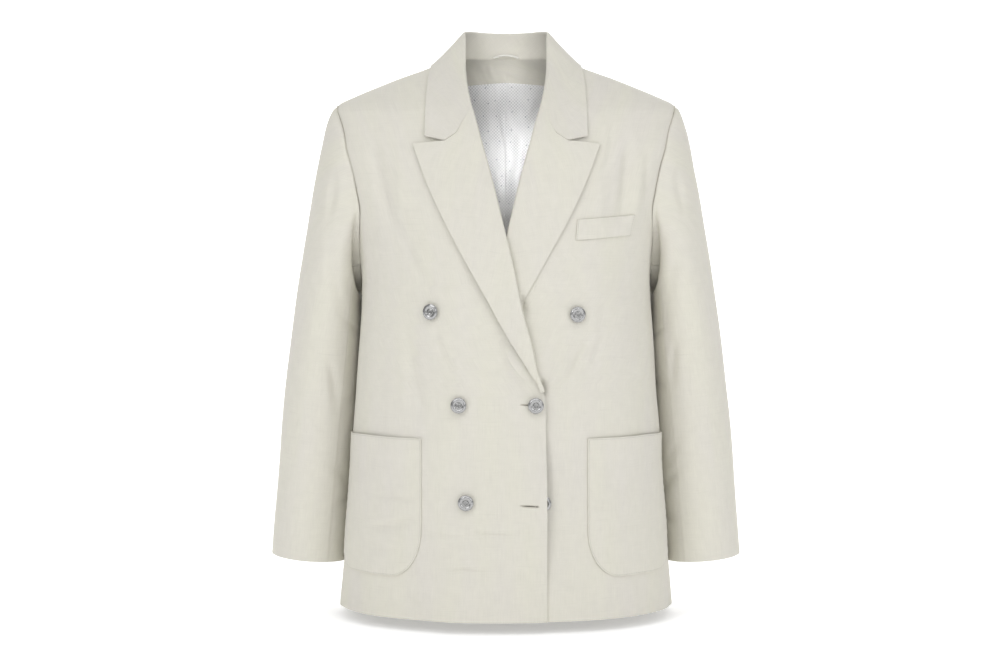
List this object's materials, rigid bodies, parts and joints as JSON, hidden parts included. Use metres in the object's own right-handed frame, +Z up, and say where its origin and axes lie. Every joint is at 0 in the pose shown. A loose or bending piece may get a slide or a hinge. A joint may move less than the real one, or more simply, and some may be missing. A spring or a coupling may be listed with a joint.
{
  "type": "double-breasted jacket",
  "caption": "Double-breasted linen-look suit jacket with peak lapels, patch pockets, a breast welt pocket and domed metal shank buttons, worn open-necked and hollow.",
  "frame": {"origin": "middle of the neck opening at the level of the side neck points, where the wearer's shoulders carry the jacket", "axes": "+Z up along the body, from hem to collar; -Y out of the chest, where the fronts lap; +X towards the wearer's left side"},
  "size_m": [0.6096, 0.2762, 0.7443],
  "materials": {
    "linen": "matte plain weave",
    "lining": "soft satin jacquard",
    "button_metal": "worn silver plate"
  },
  "bodies": {
    "root": {"front_left": "linen", "front_right": "linen", "back_left": "linen", "back_right": "linen", "lapel_left": "linen", "lapel_right": "linen", "collar": "linen", "top_sleeve_left": "linen", "under_sleeve_left": "linen", "top_sleeve_right": "linen", "under_sleeve_right": "linen", "patch_pocket_left": "linen", "patch_pocket_right": "linen", "breast_pocket_welt": "linen", "back_neck_facing": "linen", "back_lining": "lining", "hanger_loop": "lining", "button_1": "button_metal", "button_2": "button_metal", "button_3": "button_metal", "button_4": "button_metal", "button_5": "button_metal", "button_6": "button_metal"}
  },
  "joints": []
}
